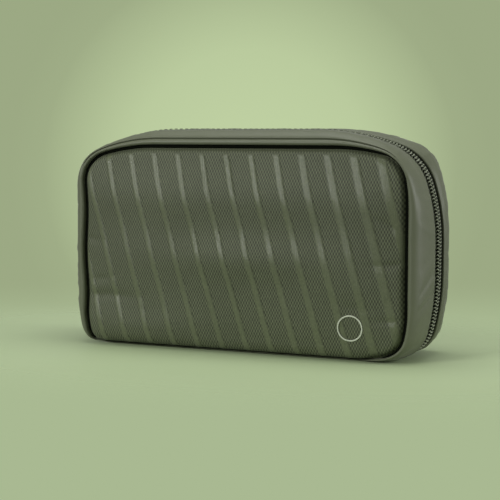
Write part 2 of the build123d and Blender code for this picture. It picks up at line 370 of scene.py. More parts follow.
def ring_stitches(name, side, out, depth, length, gap, radius, material, picked=slice(None)):
    """A row of stitches round the outer side, lying on the surface at that offset and depth."""
    line = ring_sections(1.0, out, depth, side, picked)[:, 0]
    inner = ring_sections(0.97, out - 0.05, depth - 0.9, side, picked)[:, 0]
    walked = walk(line)
    at = np.arange(length / 2, walked[-1] - length, length + gap)
    starts, ends = sample(at, walked, line), sample(at + length, walked, line)
    ahead = unit(ends - starts)
    up = sample(at + length / 2, walked, line - inner)
    up = unit(up - ahead * np.sum(up * ahead, axis=1, keepdims=True))
    return stitches(name, starts, ends, up, radius, material)


# ---- materials ---------------------------------------------------------------------------------
class Nodes:
    """Adds nodes to a node tree in short steps. A value is a number, a tuple or a node's output."""

    def __init__(self, tree):
        self.nodes, self.links = tree.nodes, tree.links

    def put(self, socket, value):
        if isinstance(value, bpy.types.NodeSocket):
            self.links.new(value, socket)
        else:
            socket.default_value = value

    def add(self, kind, *values, **settings):
        """A new node with these settings, and these values in its first sockets."""
        node = self.nodes.new("ShaderNode" + kind)
        for name, setting in settings.items():
            setattr(node, name, setting)
        for socket, value in zip(node.inputs, values):
            self.put(socket, value)
        return node

    def maths(self, operation, *values):
        return self.add("Math", *values, operation=operation).outputs[0]

    def vector(self, operation, *values):
        return self.add("VectorMath", *values, operation=operation).outputs[0]

    def between(self, value, start, end, low=0.0, high=1.0, curve="LINEAR"):
        """low where the value is at start, high where it is at end, and level beyond."""
        return self.add("MapRange", value, start, end, low, high, interpolation_type=curve).outputs[0]

    def soft(self, value, start, end):
        """0 where the value is at start and 1 where it is at end, with soft shoulders."""
        return self.between(value, start, end, curve="SMOOTHSTEP")


class Shader(Nodes):
    """One material's node tree, with its Principled BSDF."""

    def __init__(self, name, colour, roughness, sheen=0.0, specular=0.5, metallic=0.0, coat=0.0):
        self.material = bpy.data.materials.new(name)
        self.material.use_nodes = True
        super().__init__(self.material.node_tree)
        self.bsdf = self.nodes["Principled BSDF"]
        self.colour = (*colour, 1)
        settings = {"Base Color": self.colour, "Roughness": roughness, "Metallic": metallic,
                    "Specular IOR Level": specular, "Coat Weight": coat, "Sheen Weight": sheen,
                    "Sheen Roughness": 0.45}
        for socket, value in settings.items():
            self.bsdf.inputs[socket].default_value = value
        place_m = self.add("TexCoord").outputs["Object"]
        self.place = self.vector("MULTIPLY", place_m, (1 / MM, 1 / MM, 1 / MM))
        self.x, self.y, self.z = self.add("SeparateXYZ", self.place).outputs

    def noise(self, scale, detail=3.0, stretch=(1, 1, 1)):
        """Noise whose features are about 1 / scale millimetres wide."""
        node = self.add("TexNoise", self.vector("MULTIPLY", self.place, stretch))
        node.inputs["Scale"].default_value = scale
        node.inputs["Detail"].default_value = detail
        return node.outputs["Fac"]

    def wave(self, value, period):
        """From 0 to 1 and back along value, once each period."""
        turned = self.maths("MULTIPLY", value, TURN / period)
        return self.maths("MULTIPLY_ADD", self.maths("COSINE", turned), 0.5, 0.5)

    def tint(self, factor, low, high):
        """Scales the base colour from low to high as factor goes from 0 to 1, over what is there."""
        socket = self.bsdf.inputs["Base Color"]
        below = socket.links[0].from_socket if socket.is_linked else self.colour[:3]
        scaled = self.add("VectorMath", below, operation="SCALE")
        self.put(scaled.inputs["Scale"], self.between(factor, 0.0, 1.0, low, high))
        self.put(socket, scaled.outputs[0])

    def rough(self, factor, low, high):
        """Roughness from low to high as factor goes from 0 to 1."""
        self.put(self.bsdf.inputs["Roughness"], self.between(factor, 0.0, 1.0, low, high))

    def bump(self, height, distance_mm, strength=1.0):
        """Adds a bump over any that is there."""
        node = self.add("Bump")
        node.inputs["Strength"].default_value = strength
        node.inputs["Distance"].default_value = distance_mm * MM
        self.put(node.inputs["Height"], height)
        socket = self.bsdf.inputs["Normal"]
        if socket.is_linked:
            self.put(node.inputs["Normal"], socket.links[0].from_socket)
        self.put(socket, node.outputs[0])


def rib_mask(shader):
    """1 on the smooth ribs and 0 on the weave, with a soft edge."""
    drop = shader.maths("SUBTRACT", PANEL_TOP, shader.z)
    shifted = shader.maths("SUBTRACT", shader.x, shader.maths("MULTIPLY", drop, RIB_SLOPE))
    phase = shader.maths("DIVIDE", shader.maths("SUBTRACT", shifted, RIB_PHASE), RIB_PITCH)
    away = shader.maths("ABSOLUTE", shader.maths("SUBTRACT", phase, shader.maths("ROUND", phase)))
    pitch = shader.between(shader.x, 0.0, RIB_WIDE_AT, RIB_PITCH, RIB_PITCH * (1 - RIB_WIDENING))
    on_rib = shader.soft(shader.maths("MULTIPLY", away, pitch), RIB_HALF + 0.45, RIB_HALF - 0.75)
    return shader.maths("MULTIPLY", on_rib, shader.soft(drop, 2.5, 7.5))


def weave_knots(shader):
    """1 at the middle of each raised knot of the weave and 0 in the gaps."""
    across = shader.maths("COSINE", shader.maths("MULTIPLY", shader.x, TURN / WEAVE_X))
    along = shader.maths("COSINE", shader.maths("MULTIPLY", shader.z, TURN / WEAVE_Z))
    return shader.maths("MULTIPLY_ADD", shader.maths("MULTIPLY", across, along), 0.5, 0.5)


def panel_fabric():
    shader = Shader("panel_fabric", (0.0845, 0.097, 0.0555), 0.60, sheen=0.05, specular=0.30)
    rib = rib_mask(shader)
    near_seam = shader.between(shader.z, PANEL_TOP - 5.0, PANEL_TOP - 2.0)
    knots = shader.maths("MAXIMUM", weave_knots(shader), rib)
    knots = shader.maths("MAXIMUM", knots, shader.maths("MULTIPLY", near_seam, 0.6))
    shader.tint(knots, 0.24, 1.56)
    shader.tint(rib, 1.0, 0.80)
    shader.tint(shader.noise(0.03, 2.0), 0.90, 1.10)
    shader.tint(shader.noise(1.1, 3.0, (1.6, 1.0, 0.8)), 0.55, 1.45)
    shader.rough(rib, 0.58, 0.27)
    threads = shader.maths("ADD", shader.wave(shader.x, 0.46), shader.wave(shader.z, 0.46))
    shader.bump(threads, 0.035, 0.7)
    shader.bump(shader.noise(2.2, 2.0), 0.05, 0.6)
    return shader.material


def gusset_fabric():
    shader = Shader("gusset_fabric", (0.104, 0.117, 0.071), 0.46, sheen=0.06, specular=0.35)
    shader.tint(shader.noise(0.025, 2.0), 0.93, 1.07)
    shader.tint(shader.noise(2.6, 2.0), 0.95, 1.05)
    slant = shader.maths("ADD", shader.x, shader.z)
    shader.bump(shader.maths("MULTIPLY", shader.wave(slant, 0.42), shader.wave(shader.y, 0.36)), 0.025, 0.6)
    shader.bump(shader.noise(0.16, 2.0, (1, 0.6, 1)), 0.30, 0.35)
    return shader.material


def tape_fabric():
    shader = Shader("zip_tape", (0.036, 0.041, 0.027), 0.75, sheen=0.08, specular=0.2)
    slant = shader.maths("ADD", shader.z, shader.maths("ABSOLUTE", shader.y))
    herring = shader.wave(shader.maths("ADD", slant, shader.x), 0.9)
    shader.tint(herring, 0.35, 1.75)
    shader.bump(herring, 0.12)
    shader.tint(shader.noise(1.5), 0.92, 1.08)
    return shader.material


def coil_plastic():
    shader = Shader("zip_coil", (0.230, 0.255, 0.175), 0.30)
    shader.tint(shader.noise(0.3, 2.0), 0.88, 1.12)
    shader.bump(shader.noise(1.8, 2.0), 0.03, 0.5)
    return shader.material


def twisted_thread(name, colour):
    shader = Shader(name, colour, 0.58, sheen=0.2, specular=0.35)
    twist = shader.wave(shader.maths("ADD", shader.maths("ADD", shader.x, shader.z), shader.y), 0.5)
    shader.tint(twist, 0.78, 1.15)
    shader.bump(twist, 0.03)
    return shader.material


def lining_fabric():
    shader = Shader("lining_fabric", (0.155, 0.160, 0.145), 0.85, sheen=0.35, specular=0.2)
    knit = shader.maths("MULTIPLY", shader.wave(shader.x, 1.1), shader.wave(shader.z, 0.8))
    shader.tint(knit, 0.86, 1.05)
    shader.tint(shader.noise(0.05, 3.0), 0.92, 1.08)
    shader.bump(knit, 0.05, 0.6)
    shader.bump(shader.noise(0.9, 3.0), 0.08, 0.4)
    return shader.material


def binding_fabric():
    shader = Shader("binding_tape", (0.045, 0.050, 0.036), 0.7, sheen=0.2, specular=0.3)
    shader.bump(shader.wave(shader.maths("ADD", shader.x, shader.z), 0.7), 0.09)
    shader.tint(shader.noise(1.2), 0.88, 1.12)
    return shader.material


def elastic_webbing():
    shader = Shader("elastic", (0.040, 0.043, 0.036), 0.68, sheen=0.25, specular=0.3)
    ribs = shader.wave(shader.z, 1.25)
    shader.tint(ribs, 0.62, 1.25)
    shader.bump(ribs, 0.16)
    shader.bump(shader.wave(shader.x, 0.6), 0.05, 0.6)
    return shader.material


def foam_sheet():
    shader = Shader("foam", (0.30, 0.30, 0.28), 0.9, specular=0.2)
    cells = shader.noise(1.5, 4.0)
    shader.bump(cells, 0.15)
    shader.tint(cells, 0.8, 1.1)
    return shader.material


def mesh_knit():
    shader = Shader("mesh", (0.035, 0.038, 0.031), 0.6, sheen=0.25, specular=0.35)
    shader.tint(shader.noise(1.0), 0.85, 1.15)
    shader.bump(shader.noise(3.0), 0.03)
    return shader.material


def painted_metal():
    shader = Shader("zip_metal", (0.060, 0.064, 0.052), 0.36, metallic=0.55, coat=0.15)
    shader.tint(shader.noise(0.5, 3.0), 0.88, 1.12)
    shader.rough(shader.noise(0.8, 4.0), 0.28, 0.46)
    shader.bump(shader.noise(2.5, 2.0), 0.012, 0.6)
    return shader.material


def moulded_rubber():
    shader = Shader("pull_rubber", (0.070, 0.078, 0.055), 0.58, specular=0.4)
    shader.tint(shader.noise(0.6, 3.0), 0.9, 1.1)
    shader.bump(shader.noise(4.0, 2.0), 0.03, 0.7)
    return shader.material


# Near-black cloth that is painted shade: it fills the seam's groove line and shows between the coil's turns.
def near_black_shade():
    shader = Shader("painted_shade", (0.0035, 0.0045, 0.0025), 0.95, specular=0.05)
    shader.tint(shader.noise(1.2), 0.6, 1.4)
    shader.bump(shader.noise(2.0), 0.05)
    return shader.material


def badge_film():
    shader = Shader("badge", (0.50, 0.53, 0.43), 0.45, specular=0.45)
    shader.tint(shader.noise(0.8, 3.0), 0.92, 1.06)
    shader.bump(shader.noise(2.0, 2.0), 0.02, 0.5)
    return shader.material


PANEL_FABRIC = panel_fabric()
GUSSET_FABRIC = gusset_fabric()
TAPE_FABRIC = tape_fabric()
COIL_PLASTIC = coil_plastic()
THREAD = twisted_thread("thread", (0.085, 0.095, 0.062))
LIGHT_THREAD = twisted_thread("light_thread", (0.17, 0.18, 0.15))
LINING_FABRIC = lining_fabric()
BINDING_FABRIC = binding_fabric()
ELASTIC = elastic_webbing()
FOAM = foam_sheet()
MESH_KNIT = mesh_knit()
METAL = painted_metal()
RUBBER = moulded_rubber()
PAINTED_SHADE = near_black_shade()
BADGE_FILM = badge_film()


# ---- patches inside an outline -----------------------------------------------------------------
def resample(rows, count):
    """count + 1 evenly spaced rows along a run of (x, z, heading)."""
    walked = walk(rows[:, :2])
    return sample(np.linspace(0, walked[-1], count + 1), walked, rows)


def four_sides(rows, columns, levels):
    """An outline split at its corners' middles: bottom and top run to the right, left and right up."""
    at = [int(np.argmax(rows[:, 2] >= 45 + 90 * k)) for k in range(4)]
    last = rows[at[3]:-1] - [0, 0, 360]
    bottom = resample(np.vstack([last, rows[:at[0] + 1]]), columns)
    right = resample(rows[at[0]:at[1] + 1], levels)
    top = resample(rows[at[1]:at[2] + 1], columns)[::-1]
    left = resample(rows[at[2]:at[3] + 1], levels)[::-1]
    return bottom, right, top, left


def fill_patch(bottom, right, top, left):
    """A grid of (x, z) points between four sides that meet at their ends."""
    bottom, right, top, left = (side[:, :2] for side in (bottom, right, top, left))
    u = np.linspace(0, 1, len(bottom))[None, :, None]
    v = np.linspace(0, 1, len(right))[:, None, None]
    corners = ((1 - u) * (1 - v) * bottom[0] + u * (1 - v) * bottom[-1]
               + (1 - u) * v * top[0] + u * v * top[-1])
    return (1 - v) * bottom[None] + v * top[None] + (1 - u) * left[:, None] + u * right[:, None] - corners


def patch_rim(columns, levels):
    """Point numbers round the edge of a patch's grid, anticlockwise from its bottom left corner."""
    wide = columns + 1
    return ([j for j in range(columns)] + [i * wide + columns for i in range(levels)]
            + [levels * wide + columns - j for j in range(columns)]
            + [(levels - i) * wide for i in range(levels)])


def distance_to(grid, line):
    """How far each (x, z) point of a grid is from the nearest point of a line of points."""
    points, block = grid.reshape(-1, 2), 4000
    near = [np.sqrt(((points[start:start + block, None] - line) ** 2).sum(2).min(1))
            for start in range(0, len(points), block)]
    return np.concatenate(near).reshape(grid.shape[:2])


def distance_to_rim(grid):
    """How far each (x, z) point of a patch's grid is from the patch's edge."""
    levels, columns = grid.shape[0] - 1, grid.shape[1] - 1
    return distance_to(grid, grid.reshape(-1, 2)[patch_rim(columns, levels)])


def cubic_weights(coarse, fine):
    """A fine by coarse matrix that carries values from one even spacing to another, smoothly."""
    at = np.linspace(0, coarse - 1, fine)
    index = np.clip(at.astype(int), 0, coarse - 2)
    t = at - index
    shares = [0.5 * (-t + 2 * t ** 2 - t ** 3), 0.5 * (2 - 5 * t ** 2 + 3 * t ** 3),
              0.5 * (t + 4 * t ** 2 - 3 * t ** 3), 0.5 * (t ** 3 - t ** 2)]
    matrix = np.zeros((fine, coarse))
    for shift, share in zip((-1, 0, 1, 2), shares):
        np.add.at(matrix, (np.arange(fine), np.clip(index + shift, 0, coarse - 1)), share)
    return matrix


# ---- padded panels -----------------------------------------------------------------------------
PANEL_COLUMNS, PANEL_LEVELS = 560, 172
CLOTH_COLUMNS, CLOTH_LEVELS, CLOTH_STEPS = 54, 31, 30
PANEL_CROWN = 4.4
GROOVE_DEPTH, GROOVE_WIDTH = 25.2, 1.5
FACE_DEPTH = 28.9
PANEL_BACK, PANEL_BACK_LOW = 24.3, 2.3
FOAM_OUTER, FOAM_INNER = 25.5, 23.9
DRIFT = 0.6               # how far the cloth may slide along the panel
PANEL_MIDDLE = (PANEL_BOTTOM + PANEL_TOP) / 2

# Creases in the padding: x of both ends, z at the middle, rise per mm of x, width and depth.
CREASES = {
    FRONT: [(-122, -68, 31.5, -0.05, 2.9, 1.0), (-104, -82, 41.0, 0.16, 2.2, 0.45),
            (84, 112, 57.0, 0.14, 2.0, 0.8), (64, 84, 31.0, -0.10, 2.6, 0.3),
            (84, 112, 25.0, 0.16, 2.0, 0.5), (-112, -90, 66.0, -0.16, 2.4, 0.6),
            (84, 110, 78.0, -0.35, 2.6, 0.5)],
    REAR: [(60, 96, 36.0, 0.05, 2.8, 0.9), (-98, -80, 52.0, -0.10, 2.2, 0.5),
           (-20, 30, 14.0, -0.02, 3.2, 0.5)],
}

# Soft swellings where the contents push: middle x and z, half width and height, and how far.
SWELLINGS = {
    FRONT: [(4, 57, 56, 11, 2.0), (-74, 11, 38, 11.5, 2.6), (-10, 95, 120, 15, 2.6), (78, 42, 30, 10, 0.5)],
    REAR: [(-12, 60, 60, 14, 0.9), (60, 25, 40, 9, 0.7), (0, 98, 90, 14, 0.3)],
}


def cloth_swell(side):
    """The fabric pushed out by the padding behind it, sewn down round its edge, as how far each
    point of a coarse grid moves."""
    grid = fill_patch(*four_sides(SEAM_LINE, CLOTH_COLUMNS, CLOTH_LEVELS))
    points = xyz(grid[..., 0], side * FACE_DEPTH, grid[..., 1])
    piece = new_object("cloth", points, grid_faces(CLOTH_LEVELS + 1, CLOTH_COLUMNS + 1, flip=side > 0))
    sewn = piece.vertex_groups.new(name="sewn")
    sewn.add(patch_rim(CLOTH_COLUMNS, CLOTH_LEVELS), 1.0, "REPLACE")
    cloth = piece.modifiers.new("cloth", "CLOTH").settings
    cloth.quality = 7
    cloth.mass = 0.15
    cloth.tension_stiffness = 18.0
    cloth.compression_stiffness = 18.0
    cloth.shear_stiffness = 8.0
    cloth.bending_stiffness = 0.35
    cloth.air_damping = 3.0
    cloth.shrink_min = -0.012
    cloth.vertex_group_mass = "sewn"
    scene = bpy.context.scene
    scene.gravity = (0.0, side * 7.0, -3.0)   # the padding's push, and some weight
    for step in range(1, CLOTH_STEPS + 1):
        scene.frame_set(step)
    moved = np.zeros(points.size)
    evaluated = piece.evaluated_get(bpy.context.evaluated_depsgraph_get())
    evaluated.data.vertices.foreach_get("co", moved)
    bpy.data.objects.remove(piece, do_unlink=True)
    scene.frame_set(1)
    shift = moved.reshape(points.shape) / MM - points
    for _ in range(2):
        shift[:, 1:-1] = (shift[:, :-2] + 2 * shift[:, 1:-1] + shift[:, 2:]) / 4
        shift[1:-1] = (shift[:-2] + 2 * shift[1:-1] + shift[2:]) / 4
    return shift


def crease(x, z, start, end, height, rise, width, depth):
    """A fold line pressed into the padding, with a small swelling below it."""
    middle, half = (start + end) / 2, (end - start) / 2
    bend = 1.6 * ((x - middle) / half) ** 2 + 0.5 * np.sin((x - start) / 5.0)
    across = z - height - rise * (x - middle) - bend
    dent = np.exp(-(across / width) ** 2)
    swelling = np.exp(-((across + 3.2 * width) / (2.4 * width)) ** 2)
    return depth * np.exp(-1.4 * ((x - middle) / half) ** 2) * (0.35 * swelling - dent)


def rib_height(x, z):
    """The slanting bands: their rounded height, where they are, and the gullies beside them."""
    phase = (x - (PANEL_TOP - z) * RIB_SLOPE - RIB_PHASE) / RIB_PITCH
    across = (phase - np.round(phase)) * RIB_PITCH * (1 - RIB_WIDENING * np.clip(x / RIB_WIDE_AT, 0, 1))
    left = smooth_step(across, -RIB_HALF - 0.7, -RIB_HALF + 0.9)
    right = 1 - smooth_step(across, RIB_HALF - 0.7, RIB_HALF + 0.6)
    gully = np.exp(-((across - RIB_HALF - 0.75) / 0.55) ** 2)
    gully += 0.5 * np.exp(-((across + RIB_HALF + 0.8) / 0.6) ** 2)
    band = np.clip(left * right, 0, 1)
    return band * (1 - 0.06 * (across / RIB_HALF) ** 2), band, gully


def panel_surface(side):
    """The panel's face as a grid of (x, depth, z), before its ribs and weave, and the distance of
    each point to the seam."""
    grid = fill_patch(*four_sides(SEAM_LINE, PANEL_COLUMNS, PANEL_LEVELS))
    from_seam = distance_to(grid, resample(SEAM_LINE, 1300)[:, :2])
    x, z = grid[..., 0], grid[..., 1]
    rising = np.clip(from_seam - GROOVE_WIDTH, 0, None)
    depth = GROOVE_DEPTH + (FACE_DEPTH - GROOVE_DEPTH) * (1 - np.exp(-(rising / 1.3) ** 1.2))
    down = cubic_weights(CLOTH_LEVELS + 1, PANEL_LEVELS + 1)
    along = cubic_weights(CLOTH_COLUMNS + 1, PANEL_COLUMNS + 1)
    shift = np.einsum("ij,jkc,lk->ilc", down, cloth_swell(side), along)
    swell = side * shift[..., 1]
    depth = depth + swell * min(1.0, PANEL_CROWN / swell.max())
    x = x + np.clip(shift[..., 0], -DRIFT, DRIFT)
    z = z + np.clip(shift[..., 2], -DRIFT, DRIFT) * smooth_step(z, 4, 30)
    depth, z = settle(depth, z, z - PANEL_BOTTOM, flat_bottom(x))
    x = shift_left(x, z, 1.0)
    soft = 0.25 * np.sin(x / 11.0 + 1.3 * side) * np.sin(z / 13.0 + 0.4)
    soft += sum(crease(x, z, *line) for line in CREASES[side])
    for middle_x, middle_z, wide, high, size in SWELLINGS[side]:
        soft += size * np.exp(-((x - middle_x) / wide) ** 2 - ((z - middle_z) / high) ** 2)
    return xyz(x, depth + soft * smooth_step(from_seam, 1.5, 7.0), z), from_seam


def build_panel(side):
    """The padded panel: a ribbed and woven face, a rolled edge and a flat back. Returns the face
    without its ribs and weave."""
    surface, from_seam = panel_surface(side)
    x, z = surface[..., 0], surface[..., 2]
    height, band, gully = rib_height(x, z)
    knots = np.cos(TURN * x / WEAVE_X) * np.cos(TURN * z / WEAVE_Z)
    edge = smooth_step(from_seam, 3.2, 7.0)
    patchy = 0.85 + 0.3 * np.sin(x / 17.0 + z / 23.0) * np.sin(z / 19.0 - 1.0)
    rise = edge * (RIB_RISE * height * patchy - GULLY_DEPTH * gully)
    rise += (1 - band * edge) * KNOT_RISE * knots * smooth_step(from_seam, 3.0, 5.5)
    normal = unit(np.cross(np.gradient(surface, axis=1), np.gradient(surface, axis=0)))
    normal *= np.sign(normal[..., 1].mean())
    face = (surface + normal * rise[..., None]) * [1, side, 1]
    rim = patch_rim(PANEL_COLUMNS, PANEL_LEVELS)
    edge_ring = face.reshape(-1, 3)[rim] - [0, side * 0.9, 0]
    centre = np.array([0, 0, PANEL_MIDDLE])
    back = centre + (edge_ring - centre) * [0.996, 1, 0.996]
    back[:, 1] = side * PANEL_BACK
    back[:, 2] = np.maximum(back[:, 2], PANEL_BACK_LOW)
    count, around = from_seam.size, len(rim)
    faces = grid_faces(*from_seam.shape, flip=side > 0) + band_faces(rim, count + np.arange(around))
    faces += grid_faces(2, around, wrap_columns=True, offset=count, flip=True)
    faces.append(list(range(count + around, count + 2 * around)))
    points = np.vstack([face.reshape(-1, 3), edge_ring, back])
    piece = closed_object(PREFIX[side] + "panel_fabric", points, faces, PANEL_FABRIC)
    place(piece, BODY[side], "panel_fabric", PREFIX[side] + "panel")
    return surface


def build_foam(side):
    """The foam sheet behind the panel, seen only in section."""
    centre = np.array([0, PANEL_MIDDLE])
    grid = centre + (fill_patch(*four_sides(SEAM_LINE, 80, 44)) - centre) * [0.98, 0.965]
    from_edge = np.clip(distance_to_rim(grid) / 1.6, 0, 1)
    rounded = 0.8 * (1 - np.sqrt(np.clip(1 - (1 - from_edge) ** 2, 0, 1)))
    outer, inner = (xyz(grid[..., 0], side * depth, grid[..., 1])
                    for depth in (FOAM_OUTER - rounded, FOAM_INNER + rounded))
    piece = slab(PREFIX[side] + "foam_sheet", outer, inner, FOAM)
    place(piece, BODY[side], "foam", PREFIX[side] + "foam")


# ---- welt, gusset and their stitching ----------------------------------------------------------
# Profiles are (x, depth) on the right side of the pouch, with the seam at x = SEAM_X.
WELT_PROFILE = [(105.0, 25.6), (104.75, 27.0), (104.9, 28.2), (105.6, 29.05), (106.7, 29.3), (107.8, 28.95),
                (108.6, 28.1), (109.0, 27.3), (108.9, 26.8), (107.6, 26.2)]
GUSSET_PROFILE = [
    (108.5, 26.6), (108.9, 27.3), (109.6, 28.1), (110.4, 28.15), (111.4, 27.5), (112.4, 26.25),
    (113.3, 24.6), (113.95, 22.5), (114.35, 20.0), (114.6, 17.0), (114.85, 13.8), (115.1, 11.6),
    (115.3, 10.4), (115.25, 9.7), (114.9, 9.3), (114.3, 9.3), (113.75, 9.75), (113.55, 10.8),
    (113.5, 12.5), (113.1, 16.0), (112.7, 19.5), (111.9, 22.8), (110.7, 25.0), (109.2, 26.2),
]
# Away from the top the gusset is turned in right at the seam, over the welt, and folds over near
# the zip.
PLAIN_GUSSET_PROFILE = [
    (105.9, 27.6), (105.25, 28.5), (106.5, 29.4), (108.6, 28.95), (110.4, 27.3), (111.7, 25.3),
    (112.7, 23.0), (113.6, 20.5), (114.4, 17.9), (115.1, 15.3), (115.6, 13.2), (115.75, 11.9),
    (115.45, 10.5), (115.25, 9.7), (114.9, 9.3), (114.3, 9.3), (113.75, 9.75), (113.55, 10.8),
    (113.3, 13.6), (112.8, 16.8), (112.3, 19.6), (111.8, 21.9), (110.9, 24.2), (108.0, 26.9),
]
PINCHES = (35.0, 55.0)   # heights where the slack left side is nipped in


def side_profile(points, count):
    """A closed profile as shares, offsets and depths: near the zip it keeps its true distance from
    the outer side, and near the seam it fits between the seam and the outer side."""
    x, depth = closed_curve(points, count).T
    fitted = smooth_step(depth, 12.0, 20.0)
    inset = x - HALF_WIDTH
    return 1 + inset / (HALF_WIDTH - SEAM_X) * fitted, inset * (1 - fitted), depth


def folds(depth, counts, slant, seed):
    """Soft wrinkles across a band, from -1 to 1: waves that close up round the rim."""
    turn = TURN * RIM["walked"][:, None] / RIM["length"]
    total = 0.0
    for index, count in enumerate(counts):
        phase = 1.7 * seed + 2.4 * index
        slanted = slant * (depth - 18) * (0.5 + 0.35 * index)
        total = total + np.sin(count * turn + phase + slanted + 1.6 * np.sin((3 + index) * turn + phase))
    return total / len(counts)


def bump_at(height, middle, width):
    """1 at the middle height, fading to 0 over the width."""
    return np.exp(-((height - middle) / width) ** 2)


def rest_on_floor(points, lift=0.05, soft=1.2):
    """Presses what would reach below the floor flat on it, softly."""
    z = points[..., 2]
    points[..., 2] = np.where(z < soft, lift + (soft - lift) * np.exp((z - soft) / (soft - lift)), z)
    return points


def build_welt(side):
    """The welt round the panel's seam, lightly puckered by its stitching."""
    share, out, depth = side_profile(WELT_PROFILE, 26)
    pucker = 0.10 * np.sin(TURN * RIM["walked"] / 3.6)[:, None]
    lumps = 0.16 * folds(depth, (37, 61, 83), 0.1, 3 + side)
    sections = ring_sections(share, out, depth + (pucker + lumps) * smooth_step(depth, 27.4, 29.0), side)
    piece = sweep(PREFIX[side] + "welt", rest_on_floor(sections), GUSSET_FABRIC)
    place(piece, BODY[side], "gusset_fabric", PREFIX[side] + "piping")


def build_gusset(side):
    """The smooth side band, with soft wrinkles, most where it is slack and at the corners."""
    top = smooth_step(towards(100.0, 62.0), 0.25, 0.75)[:, None]
    profiles = zip(side_profile(GUSSET_PROFILE, 66), side_profile(PLAIN_GUSSET_PROFILE, 66))
    share, out, depth = (plain + (welted - plain) * top for welted, plain in profiles)
    height = RIM["outer"][:, 1]
    corner = np.abs(2 * RIM["normal"][:, 0] * RIM["normal"][:, 1])[:, None]
    slack = (bump_at(height, 47, 12.0) * (0.6 + 1.6 * towards(180.0, 40.0)))[:, None]
    shift = (0.20 + 0.10 * corner + 0.42 * slack) * folds(depth, (23, 41, 67), 0.22, side)
    shift += (0.05 + 0.08 * corner + 0.14 * slack) * folds(depth, (97, 131), 0.35, 2 + side)
    if side == FRONT:
        slump = 0.6 * bump_at(height, 45, 6.0) + 0.4 * bump_at(height, 24, 7.0)
        slump -= sum(0.95 * bump_at(height, pinch, 2.0) for pinch in PINCHES)
        shift += (slump * towards(180.0, 32.0))[:, None]
    shift *= smooth_step(depth, 10.0, 14.0) * (1 - smooth_step(depth, 24.5, 27.5))
    mouth = 0.10 * folds(0.0, (53, 89), 0.0, 5 + side) * (1 - smooth_step(depth, 9.0, 13.0))
    sections = ring_sections(share, out + shift, depth + mouth, side)
    piece = sweep(PREFIX[side] + "gusset_band", rest_on_floor(sections), GUSSET_FABRIC)
    place(piece, BODY[side], "gusset_fabric", PREFIX[side] + "gusset")


def build_seam(side):
    """The turned-in cloth at the bottom of the seam's groove, coloured near-black as painted shade, and the
    front's stitches by the zip.
    """
    angle = np.linspace(0, TURN, 8, endpoint=False)
    size = (1 - 0.62 * towards(225.0, 38.0) - 0.2 * towards(180.0, 30.0))[:, None]
    share, depth = -0.085 + 0.16 * size * np.cos(angle), 25.8 + 0.95 * size * np.sin(angle)
    sections = rest_on_floor(ring_sections(share, 0.0, depth, side))
    # The strip's near-black colour is painted shade for the groove's shadow line.
    place(sweep(PREFIX[side] + "seam_shadow_strip", sections, PAINTED_SHADE), BODY[side], "binding_tape")
    if side == FRONT:
        off_floor = RIM["outer"][:, 1] > 5.0
        row = ring_stitches("front_mouth_stitch", side, MOUTH_STITCH_X - HALF_WIDTH, 11.0,
                            2.5, 1.1, 0.27, THREAD, off_floor)
        place(row, BODY[side], "gusset_fabric")


# ---- zip ---------------------------------------------------------------------------------------
TAPE_PROFILE = [(113.30, 13.8), (113.34, 9.6), (113.22, 6.4), (113.30, 3.4), (113.28, 1.2), (113.1, 0.75),
                (112.75, 0.85), (112.62, 3.4), (112.54, 6.4), (112.60, 9.6), (112.62, 13.8)]
MOUTH_STITCH_X = 115.6
TAPE_STITCH_INSET = 2.16
ZIP_PITCH = 2.05
COIL_TURN_POINTS, COIL_SIDES = 14, 6
COIL_RADIUS = 0.36
STOP_HALF = 1.5


def zip_run():
    """The rim points that carry the zip, all but the middle of the bottom, with their outward
    normals and the distance walked."""
    x, z = RIM["outer"].T
    picked = (z > HEIGHT / 3) | (np.abs(x) >= ZIP_END)
    return RIM["outer"][picked], RIM["normal"][picked], walk(RIM["outer"][picked])


def full(value, power):
    """A sine or cosine with fuller shoulders, for ovals that are nearly boxes."""
    return np.sign(value) * np.abs(value) ** power


def build_tape(side):
    """The woven tape between the gusset's mouth and the coil, slightly bellied, and its stitches."""
    x, depth = np.array(TAPE_PROFILE).T
    lumps = 0.10 * folds(depth, (29, 47), 0.2, 7 + side)
    sections = ring_sections(1.0, x - HALF_WIDTH + lumps, depth, side)
    piece = sweep(PREFIX[side] + "tape", sections, TAPE_FABRIC)
    place(piece, BODY[side], "zip_tape", PREFIX[side] + "zip_tape")
    for name, at_depth in (("tape_stitch_outer", 7.7), ("tape_stitch_inner", 4.15)):
        row = ring_stitches(PREFIX[side] + name, side, -TAPE_STITCH_INSET, at_depth, 1.9, 0.9, 0.20, THREAD)
        place(row, BODY[side], "zip_tape")


def coil_path(side):
    """Centre line of the wound filament, an oval turn for each tooth, and the way out at each
    point. The two halves' turns lie between one another."""
    outer, normal, walked = zip_run()
    turns = int(walked[-1] / ZIP_PITCH) - 2
    angle = np.arange(turns * COIL_TURN_POINTS) * TURN / COIL_TURN_POINTS
    at = ZIP_PITCH * (angle / TURN + 0.8 + 0.25 * side) + 0.62 * np.cos(angle)
    depth = 1.93 + 1.42 * full(np.cos(angle), 0.75)
    inset = 1.12 - 0.70 * full(np.sin(angle), 0.8)
    away = unit(sample(at, walked, normal))
    flat = sample(at, walked, outer) - away * inset[:, None]
    return xyz(flat[:, 0], side * depth, flat[:, 1]), xyz(away[:, 0], 0.0, away[:, 1])


